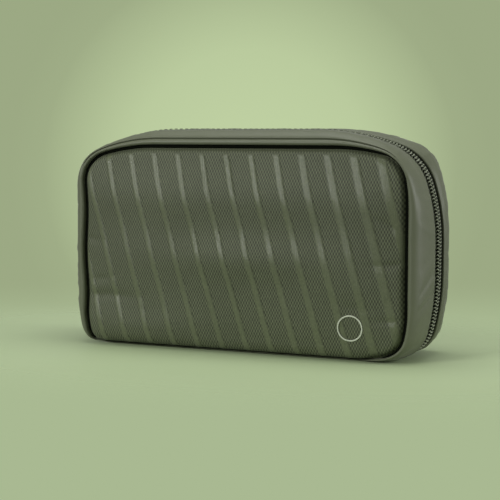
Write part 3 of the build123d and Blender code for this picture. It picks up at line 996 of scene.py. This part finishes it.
def build_coil(side):
    """The wound filament of one half's coil."""
    path, away = coil_path(side)
    ahead = unit(np.gradient(path, axis=0))
    across = np.cross(ahead, away)
    short = np.linalg.norm(across, axis=1, keepdims=True) < 0.25   # where the path runs straight out
    across = unit(np.where(short, np.cross(ahead, [0.0, 1.0, 0.0]), across))
    for k in range(1, len(across)):
        if np.dot(across[k], across[k - 1]) < 0:
            across[k] *= -1
    angle = np.linspace(0, TURN, COIL_SIDES, endpoint=False)[:, None]
    ring = np.cos(angle) * across[:, None] + np.sin(angle) * np.cross(across, ahead)[:, None]
    piece = sweep(PREFIX[side] + "coil", path[:, None] + COIL_RADIUS * ring, COIL_PLASTIC, closed_path=False)
    place(piece, BODY[side], "zip_coil", PREFIX[side] + "zip_coil")


def build_cord(side):
    """The filler cord that the coil is wound round, which shows between its turns; its near-black colour is
    painted shade.
    """
    outer, normal, _ = zip_run()
    angle = np.linspace(0, TURN, 12, endpoint=False)
    flat = outer[2:-2, None] - normal[2:-2, None] * (1.22 + 0.40 * np.sin(angle))[:, None]
    sections = xyz(flat[..., 0], side * (1.95 + 1.18 * np.cos(angle)), flat[..., 1])
    # The cord is real, but its near-black colour is painted shade between the coil's turns.
    piece = sweep(PREFIX[side] + "coil_cord", sections, PAINTED_SHADE, closed_path=False)
    place(piece, BODY[side], "zip_tape")


def build_stops(side):
    """A folded stop clamped on each end of the coil."""
    profile = closed_curve([(0.55, 0.75), (0.1, 1.2), (0.05, 2.0), (0.1, 2.8), (0.55, 3.25), (1.6, 3.3),
                            (2.15, 2.9), (2.2, 2.0), (2.15, 1.1), (1.6, 0.7)], 28)
    middle = np.array([1.15, 2.0])
    along = np.linspace(-1, 1, 15)[:, None]
    swell = np.sqrt(np.clip(1 - np.abs(along) ** 5, 0.05, 1)) * (1 - 0.10 * np.exp(-(along / 0.25) ** 2))
    height, depth = np.moveaxis(middle + (profile - middle) * (0.15 + 0.85 * swell)[..., None], 2, 0)
    for name, end, nodes in (("left", -1, [PREFIX[side] + "zip_stops"]), ("right", 1, [])):
        sections = xyz(end * (ZIP_END + STOP_HALF) + STOP_HALF * along, side * depth, height)
        piece = sweep(PREFIX[side] + "stop_" + name, sections, METAL, closed_path=False)
        place(piece, BODY[side], "zip_metal", *nodes)


HINGE_HALF, HINGE_REACH = ZIP_END - 0.2, 9.6


def build_hinge():
    """The strip of cloth under the pouch that joins the halves, with two rows of fine stitches on
    each side."""
    x, y = np.meshgrid(np.linspace(-HINGE_HALF, HINGE_HALF, 145), np.linspace(-HINGE_REACH, HINGE_REACH, 41))
    ends = smooth_step(HINGE_HALF - np.abs(x), 0, 2.2)
    inside = ends * smooth_step(HINGE_REACH - np.abs(y), 0, 1.2)
    wave = 0.10 * np.sin(x / 3.1) * np.sin(y / 2.3) + 0.10 * np.sin(x / 7.7 + 1)
    under = 0.12 + 0.16 * (1 - inside) + 0.05 * (1 + wave)
    over = under + 0.35 + 1.9 * inside + wave * ends
    piece = slab("hinge_fabric", xyz(x, y, under), xyz(x, y, over), GUSSET_FABRIC)
    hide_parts("front_hinge_strip", "rear_hinge_strip")
    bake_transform(piece)
    for side in (FRONT, REAR):
        for row, at_y in (("outer", 8.2), ("inner", 6.4)):
            starts = xyz(np.arange(-HINGE_HALF + 2, HINGE_HALF - 4, 3.6), side * at_y, 0.12)
            name = f"{PREFIX[side]}hinge_stitch_{row}"
            place(stitches(name, starts, starts + [2.5, 0, 0], (0, 0, -1), 0.04, THREAD), BODY[side],
                  "gusset_fabric")


# ---- inside ------------------------------------------------------------------------------------
LINING_COLUMNS, LINING_LEVELS = 150, 84
LINING_BASE, LINING_ROUND, LINING_MOUTH = 23.45, 2.6, 6.0
QUILT_PITCH = 26.0


def build_lining(side):
    """The quilted lining: a padded base, rounded into the wall, which is folded over at its mouth."""
    sides = four_sides(OUTER_LINE, LINING_COLUMNS, LINING_LEVELS)
    bottom, right, top, left = sides
    rim = np.vstack([bottom[:-1], right[:-1], top[:0:-1], left[:0:-1]])
    grid = fill_patch(*(run[:, :2] - facing_out(run[:, 2]) * (INNER_INSET + LINING_ROUND) for run in sides))
    x, z = grid[..., 0], grid[..., 1]
    diamond = np.abs(np.sin(math.pi * (x + z) / QUILT_PITCH) * np.sin(math.pi * (x - z) / QUILT_PITCH))
    puff = 0.95 * diamond ** 0.45 * smooth_step(distance_to_rim(grid), 0, 6)
    wall = [(-LINING_ROUND * (1 - math.sin(a)), LINING_BASE - LINING_ROUND * (1 - math.cos(a)))
            for a in np.linspace(0, math.pi / 2, 7)[1:]]
    wall += [(-0.25 * math.sin(math.pi * s), 20.85 - s * 14.35) for s in np.linspace(0, 1, 16)[1:]]
    wall += [(0.12, LINING_MOUTH + 0.15), (0.4, LINING_MOUTH), (0.68, LINING_MOUTH + 0.2)]
    wall += [(0.72, 12.0), (0.7, 20.6), (-1.2, 24.0)]
    walked = walk(rim[:, :2])
    turn = TURN * walked / (walked[-1] + 1)
    flat, depths = [grid.reshape(-1, 2)], [(LINING_BASE - puff).ravel()]
    for out, depth in wall:
        soft = smooth_step(depth, 6.0, 12.0) * (1 - smooth_step(depth, 19.0, 23.0)) * (out < 0.3)
        lump = 0.18 * soft * (np.sin(31 * turn + 0.2 * depth) + np.sin(53 * turn + 1 - 0.15 * depth))
        inset = INNER_INSET - out + np.maximum(lump, -0.1)
        flat.append(rim[:, :2] - facing_out(rim[:, 2]) * inset[:, None])
        depths.append(np.full(len(rim), depth))
    flat = np.vstack(flat)
    count, around = x.size, len(rim)
    faces = grid_faces(LINING_LEVELS + 1, LINING_COLUMNS + 1)
    faces += band_faces(patch_rim(LINING_COLUMNS, LINING_LEVELS), count + np.arange(around))
    faces += grid_faces(len(wall), around, wrap_columns=True, offset=count)
    faces.append(list(range(len(flat) - around, len(flat))))
    points = xyz(flat[:, 0], side * np.concatenate(depths), flat[:, 1])
    piece = closed_object(PREFIX[side] + "lining_cup", points, faces, LINING_FABRIC)
    place(piece, BODY[side], "lining_fabric", PREFIX[side] + "lining")


def build_binding(side):
    """A folded tape sewn over the raw inner seam."""
    out, depth = closed_curve([(-4.0, 17.3), (-3.75, 18.4), (-3.8, 20.2), (-3.75, 22.2), (-4.1, 23.1),
                               (-4.9, 22.8), (-5.25, 20.2), (-5.0, 17.8), (-4.5, 17.15)], 24).T
    lumps = 0.12 * folds(depth, (43, 71), 0.3, 4 + side)
    piece = sweep(PREFIX[side] + "seam_tape", ring_sections(1.0, out + lumps, depth, side), BINDING_FABRIC)
    place(piece, BODY[side], "binding_tape", PREFIX[side] + "seam_binding")
    row = ring_stitches(PREFIX[side] + "seam_tape_stitch", side, -5.02, 18.4, 2.4, 1.2, 0.2, LIGHT_THREAD)
    place(row, BODY[side], "binding_tape")


# Rows of elastic loops: name, count, pitch, half of a loop's span, middle height.
LOOP_ROWS = (("upper", 4, 46.0, 19.0, 78.0), ("lower", 5, 37.0, 15.0, 30.0))
LOOP_WIDTH = 24.0
LOOP_RISE, LOOP_BASE, TACK_DEPTH = 8.35, 22.95, 22.15


def build_loops(name, count, pitch, half_span, height):
    """One ribbed elastic band, tacked down between its loops, and its tacks."""
    _, high = node_box(name + "_cable_loops")
    flat = pitch / 2 - half_span
    share = np.linspace(-1, 1, 30)
    arch = (1 - np.abs(share) ** 3.2) ** 0.85
    middles = (np.arange(count) - (count - 1) / 2) * pitch
    runs = []
    for index, middle in enumerate(middles):
        runs += [(middle - half_span - np.linspace(flat, 0, 4, endpoint=False), np.zeros(4)),
                 (middle + half_span * share, (LOOP_RISE - 0.35 * (index % 2)) * arch),
                 (middle + half_span + np.linspace(0, flat, 5)[1:-1], np.zeros(3))]
    x, rise = np.hstack(runs)
    path = np.stack([x * min(1.0, high[0] / np.abs(x).max()), LOOP_BASE - rise], 1)
    ahead = unit(np.gradient(path, axis=0))
    outward = np.stack([ahead[:, 1], -ahead[:, 0]], 1)
    across = np.linspace(-1, 1, 81)
    thick = 0.55 * np.sqrt(np.clip(1 - np.abs(across) ** 14, 0.02, 1)) + 0.10 * np.cos(20 * math.pi * across)
    level = np.concatenate([across, across[::-1]]) * LOOP_WIDTH / 2
    thick = np.concatenate([thick, -thick[::-1]])
    flat_at = path[:, None] + outward[:, None] * thick[:, None]
    sag = 0.5 * rise / rise.max()
    sections = xyz(flat_at[..., 0], flat_at[..., 1], height + level - sag[:, None])
    piece = sweep(name + "_elastic", sections, ELASTIC, closed_path=False)
    place(piece, "rear_half", "elastic", name + "_cable_loops")
    at_tack = half_span + flat / 2
    levels = height + np.arange(-LOOP_WIDTH / 2 + 1.2, LOOP_WIDTH / 2 - 1.0, 0.95)
    tacks = [*(middles - at_tack), middles[-1] + at_tack]
    starts = np.array([(tack - 1.2, TACK_DEPTH, level) for tack in tacks for level in levels])
    row = stitches(name + "_tacks", starts, starts + [2.4, 0, 0.42], (0, -1, 0), 0.24, LIGHT_THREAD)
    place(row, "rear_half", "elastic")


NET_PITCH, NET_STRAND = 3.4, 0.50
NET_SEWN_DEPTH, NET_STAND = 22.6, 5.7
NET_HALF, NET_LOW, NET_HIGH = pocket_high[0] - 0.5, pocket_low[2] + 0.8, pocket_high[2] - 0.6


def net_depth(x, z):
    """The pocket's sheet: sewn to the lining at both sides and the bottom, and standing off it."""
    from_side = np.clip((NET_HALF - np.abs(x)) / 16.0, 0, 1)
    from_low = np.clip((z - NET_LOW) / 16.0, 0, 1)
    stand = np.sin(from_side * math.pi / 2) ** 0.8 * np.sin(from_low * math.pi / 2) ** 0.8
    return NET_SEWN_DEPTH - NET_STAND * stand + 0.25 * np.sin(x / 9.0) * np.sin(z / 14.0) * stand


def net_strands():
    """The sides of the net's six-sided holes, each once, as pairs of (x, z) ends."""
    radius = NET_PITCH / math.sqrt(3)
    corners = [(radius * math.cos(math.radians(60 * k + 30)), radius * math.sin(math.radians(60 * k + 30)))
               for k in range(6)]
    corners.append(corners[0])
    row_step = 1.5 * radius
    strands = {}
    for i in range(int((NET_HIGH - NET_LOW) / row_step) + 2):
        for j in range(int(2 * NET_HALF / NET_PITCH) + 2):
            centre_x = -NET_HALF + (j + 0.5 * (i % 2)) * NET_PITCH
            centre_z = NET_LOW + i * row_step
            ring = [(centre_x + x, centre_z + z) for x, z in corners]
            for start, end in zip(ring, ring[1:]):
                x, z = (start[0] + end[0]) / 2, (start[1] + end[1]) / 2
                if abs(x) < NET_HALF and NET_LOW < z < NET_HIGH:
                    strands.setdefault((round(x * 20), round(z * 20)), (start, end))
    ends = np.clip(list(strands.values()), (-NET_HALF, NET_LOW), (NET_HALF, NET_HIGH))
    return ends[np.linalg.norm(ends[:, 1] - ends[:, 0], axis=1) > 0.4]


def build_net():
    """The mesh pocket: a knit of six-sided holes, each side of a hole a flat strand."""
    start, end = (xyz(x, -net_depth(x, z), z) for x, z in net_strands().transpose(1, 2, 0))
    ahead = unit(end - start)
    across = unit(np.cross(ahead, [0.0, -1.0, 0.0]))
    angle = np.linspace(0, TURN, 6, endpoint=False)[:, None]
    share = np.array([-0.04, 0.22, 0.78, 1.04])[:, None]
    wide = NET_STRAND * np.array([1.15, 0.78, 0.78, 1.15])[:, None, None]
    centre = start[:, None] + (end - start)[:, None] * share
    flat_ring = np.cos(angle) * across[:, None, None] * wide
    ring = flat_ring + np.sin(angle) * np.cross(across, ahead)[:, None, None] * 0.22
    piece = repeated("pocket_net", centre[:, :, None] + ring, MESH_KNIT)
    place(piece, "front_half", "mesh", "mesh_pocket")


def build_net_mouth():
    """Binding along the pocket's mouth, with two rows of stitches."""
    half, middle_z = pocket_high[0] - 0.2, pocket_high[2]
    x = np.linspace(-half, half, 181)
    depth_at = lambda at: np.interp(at, x, np.clip(net_depth(x, middle_z), 16.9, 23.0))
    drop_at = lambda at: np.interp(at, x, -0.7 * np.cos(x / half * math.pi / 2))
    out, up = closed_curve([(-0.62, -2.6), (-0.75, 0.0), (-0.62, 2.6), (0.0, 2.95), (0.62, 2.6),
                            (0.75, 0.0), (0.62, -2.6), (0.0, -2.95)], 24).T
    sections = xyz(x[:, None], -(depth_at(x)[:, None] + out), middle_z + drop_at(x)[:, None] + up)
    piece = sweep("pocket_binding", sections, BINDING_FABRIC, closed_path=False)
    place(piece, "front_half", "binding_tape", "mesh_pocket_binding")
    starts_x = np.arange(-half + 1.5, half - 3.5, 3.4)
    for name, level in (("low", -1.9), ("high", 1.9)):
        start, end = (xyz(at, 0.72 - depth_at(at), middle_z + drop_at(at) + level)
                      for at in (starts_x, starts_x + 2.4))
        row = stitches("pocket_stitch_" + name, start, end, (0, 1, 0), 0.2, LIGHT_THREAD)
        place(row, "front_half", "binding_tape")


def build_net_edge():
    """A sewn-down tape round the pocket's sides and bottom."""
    edge, low, high, corner = pocket_high[0] - 1.2, pocket_low[2] + 1.2, pocket_high[2] - 2, 6.0
    left = [(-edge, z) for z in np.linspace(high, low + corner, 30)]
    left += [(-edge + corner - corner * math.cos(a), low + corner - corner * math.sin(a))
             for a in np.linspace(0, math.pi / 2, 9)[1:]]
    bottom = [(x, low) for x in np.linspace(-edge + corner, edge - corner, 80)[1:-1]]
    path = np.array(left + bottom + [(-x, z) for x, z in left[::-1]])
    ahead = unit(np.gradient(path, axis=0))
    across = np.stack([-ahead[:, 1], ahead[:, 0]], 1)
    ring = closed_curve([(-2.3, 0.0), (-2.1, 0.42), (0.0, 0.55), (2.1, 0.42), (2.3, 0.0), (0.0, -0.2)], 18)
    flat = path[:, None] + across[:, None] * ring[:, :1]
    sections = xyz(flat[..., 0], ring[:, 1] - 22.7, flat[..., 1])
    piece = sweep("pocket_edge_tape", sections, BINDING_FABRIC, closed_path=False)
    place(piece, "front_half", "binding_tape")


# ---- badge, slider and pull --------------------------------------------------------------------
def build_badge(surface):
    """A plain ring of film on the panel, following its face."""
    centre = (badge_low + badge_high)[[0, 2]] / 2
    middle = (badge_high[0] - badge_low[0]) / 2 - 0.55
    section = closed_curve([(-0.44, -0.1), (-0.40, 0.16), (-0.25, 0.24), (0.25, 0.24), (0.40, 0.16),
                            (0.44, -0.1), (0.3, -0.25), (-0.3, -0.25)], 20)
    angle = np.linspace(0, TURN, 120, endpoint=False)[:, None]
    x = centre[0] + (middle + section[:, 0]) * np.cos(angle)
    z = centre[1] + (middle + section[:, 0]) * np.sin(angle)
    near = surface.reshape(-1, 3)
    near = near[(np.abs(near[:, [0, 2]] - centre) < 12).all(1)]
    away = (x.reshape(-1, 1) - near[:, 0]) ** 2 + (z.reshape(-1, 1) - near[:, 2]) ** 2
    nearest = np.argsort(away, axis=1)[:, :6]
    weight = 1 / (np.take_along_axis(away, nearest, 1) + 0.02)
    depth = ((near[nearest, 1] * weight).sum(1) / weight.sum(1)).reshape(x.shape)
    lift = depth + 0.30 + 0.55 * rib_height(x, z)[0] + section[:, 1]
    place(sweep("ring_badge", xyz(x, -lift, z), BADGE_FILM), "front_half", "badge", "front_badge")


def build_grip():
    """The moulded pull: a soft tab with a waist and grip ridges."""
    centre = (grip_low + grip_high) / 2
    half_thick, half_width, half_length = (grip_high - grip_low) / 2
    share = np.linspace(0, 1, 73)[:, None]
    ends = np.sqrt(np.clip(1 - np.abs(2 * share - 1) ** 7, 0.0, 1)) ** 0.9
    waist = 0.80 + 0.20 * np.cos(TURN * share) ** 2
    ridge_zone = smooth_step(share, 0.14, 0.20) * (1 - smooth_step(share, 0.62, 0.68))
    ridges = 0.16 * np.cos(TURN * share * 2 * half_length / 1.7) * ridge_zone
    thick = np.minimum(half_thick * 0.86 * np.maximum(ends, 0.25) + ridges, half_thick)
    wide = half_width * waist * np.maximum(ends, 0.12)
    angle = np.linspace(0, TURN, 40, endpoint=False)
    sections = xyz(centre[0] + thick * full(np.sin(angle), 0.55),
                   centre[1] + wide * full(np.cos(angle), 0.55),
                   grip_low[2] + share * 2 * half_length)
    place(sweep("grip_tab", sections, RUBBER, closed_path=False), "zip_pull", "pull_rubber", "pull_grip")


def finish_cad_metal():
    """The slider's own CAD pieces, with a worn enamel finish."""
    for node in ("slider_body", "slider_bridge", "pull_link"):
        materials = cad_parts[node].data.materials
        materials.clear()
        materials.append(METAL)


panel_faces = {}
for side in (FRONT, REAR):
    panel_faces[side] = build_panel(side)
    for build in (build_foam, build_welt, build_gusset, build_seam, build_tape, build_coil, build_cord,
                  build_stops, build_lining, build_binding):
        build(side)
build_hinge()
for row in LOOP_ROWS:
    build_loops(*row)
build_net()
build_net_mouth()
build_net_edge()
build_badge(panel_faces[FRONT])
build_grip()
finish_cad_metal()


# ---- stage, lights and camera ------------------------------------------------------------------
BACKDROP_EDGE = (0.332, 0.397, 0.230)
BACKDROP_GLOW = (0.520, 0.630, 0.362)
FLOOR_PAPER = (0.385, 0.47, 0.277)
FLOOR_SHOWN = (0.397, 0.485, 0.287)
STUDIO_FILL, STUDIO_STRENGTH = (0.98, 1.0, 0.95), 0.27
VIEW_AZIMUTH, VIEW_ELEVATION = math.radians(24.0), math.radians(5.18)
VIEW_TARGET = Vector((-0.00499, 0.0, 0.05975))
VIEW_DISTANCE, VIEW_LENS = 0.82193, 96.24

# Lamps: name, place, the height above the origin that it aims at, and its size, in metres, and watts.
LAMPS = (
    ("overhead", (0.0, 0.02, 0.95), 0.05, (0.8, 0.4), 4.4),
    ("left_front", (-0.50, -1.00, 0.46), 0.06, (0.40, 0.26), 8.5),
    ("right_side", (1.0, 0.10, 0.30), 0.06, (0.35, 0.5), 5.4),
    ("behind", (-0.45, 1.0, 0.10), 0.06, (0.7, 0.2), 3.2),
)


def build_floor():
    """A pale floor that fades into the backdrop away from the pouch."""
    rings, around = 24, 96
    radius = np.linspace(0, 1, rings + 1)[1:, None] ** 1.5 * 2400
    angle = np.linspace(0, TURN, around, endpoint=False)
    circles = xyz(radius * np.cos(angle), radius * np.sin(angle), 0.0).reshape(-1, 3)
    points = np.vstack([np.zeros((1, 3)), circles])
    faces = [[0, 1 + k, 1 + (k + 1) % around] for k in range(around)]
    faces += grid_faces(rings, around, wrap_columns=True, offset=1)
    shader = Shader("floor_paper", FLOOR_PAPER, 0.85, specular=0.1)
    flat = shader.vector("MULTIPLY", shader.place, (0.62, 1.0, 0.0))
    away = shader.add("VectorMath", flat, operation="LENGTH").outputs["Value"]
    clear = shader.add("BsdfTransparent").outputs[0]
    mix = shader.add("MixShader", shader.soft(away, 76.0, 200.0), shader.bsdf.outputs[0], clear)
    shader.put(shader.nodes["Material Output"].inputs["Surface"], mix.outputs[0])
    new_object("floor", points, faces, shader.material)


def build_world(view):
    """A sage backdrop, lightest in a broad glow behind the pouch, and an even fill light."""
    world = bpy.data.worlds.new("sage")
    bpy.context.scene.world = world
    world.use_nodes = True
    tree = Nodes(world.node_tree)
    way = tree.add("TexCoord").outputs["Generated"]
    glow_way = (view + Vector((0.0, 0.0, 0.06))).normalized()
    facing = tree.add("VectorMath", way, glow_way, operation="DOT_PRODUCT").outputs["Value"]
    glow = tree.add("ValToRGB", facing)
    glow.color_ramp.interpolation = "EASE"
    edge, middle = glow.color_ramp.elements
    edge.position, edge.color = 0.986, (*BACKDROP_EDGE, 1)
    middle.position, middle.color = 0.9995, (*BACKDROP_GLOW, 1)
    below_horizon = tree.soft(tree.add("SeparateXYZ", way).outputs[2], -0.110, -0.150)
    join = tree.add("Mix", data_type="RGBA")
    for socket, value in (("Factor", below_horizon), ("A", glow.outputs[0]), ("B", (*FLOOR_SHOWN, 1))):
        tree.put(join.inputs[socket], value)
    shown = tree.nodes["Background"]
    tree.put(shown.inputs["Color"], join.outputs["Result"])
    fill = tree.add("Background", (*STUDIO_FILL, 1), STUDIO_STRENGTH)
    seen = tree.add("LightPath").outputs["Is Camera Ray"]
    mix = tree.add("MixShader", seen, fill.outputs[0], shown.outputs[0])
    tree.put(tree.nodes["World Output"].inputs["Surface"], mix.outputs[0])


def add_lamp(name, place_m, aim_height, size_m, watts):
    """A soft rectangular lamp."""
    light = bpy.data.lights.new(name, "AREA")
    light.shape = "RECTANGLE"
    light.size, light.size_y = size_m
    light.energy = watts
    lamp = bpy.data.objects.new(name, light)
    bpy.context.scene.collection.objects.link(lamp)
    lamp.location = place_m
    lamp.rotation_euler = (Vector((0, 0, aim_height)) - Vector(place_m)).to_track_quat("-Z", "Y").to_euler()


def set_camera():
    """The view of the picture: from the right of the front, slightly above. Returns the way it looks."""
    view = Vector((-math.sin(VIEW_AZIMUTH) * math.cos(VIEW_ELEVATION),
                   math.cos(VIEW_AZIMUTH) * math.cos(VIEW_ELEVATION), -math.sin(VIEW_ELEVATION)))
    camera = bpy.data.cameras.new("camera")
    camera.lens = VIEW_LENS
    camera.sensor_width = 36.0
    lens = bpy.data.objects.new("camera", camera)
    bpy.context.scene.collection.objects.link(lens)
    lens.location = VIEW_TARGET - view * VIEW_DISTANCE
    lens.rotation_euler = view.to_track_quat("-Z", "Y").to_euler()
    bpy.context.scene.camera = lens
    return view


build_floor()
build_world(set_camera())
for lamp in LAMPS:
    add_lamp(*lamp)
bpy.context.scene.view_settings.view_transform = "Standard"
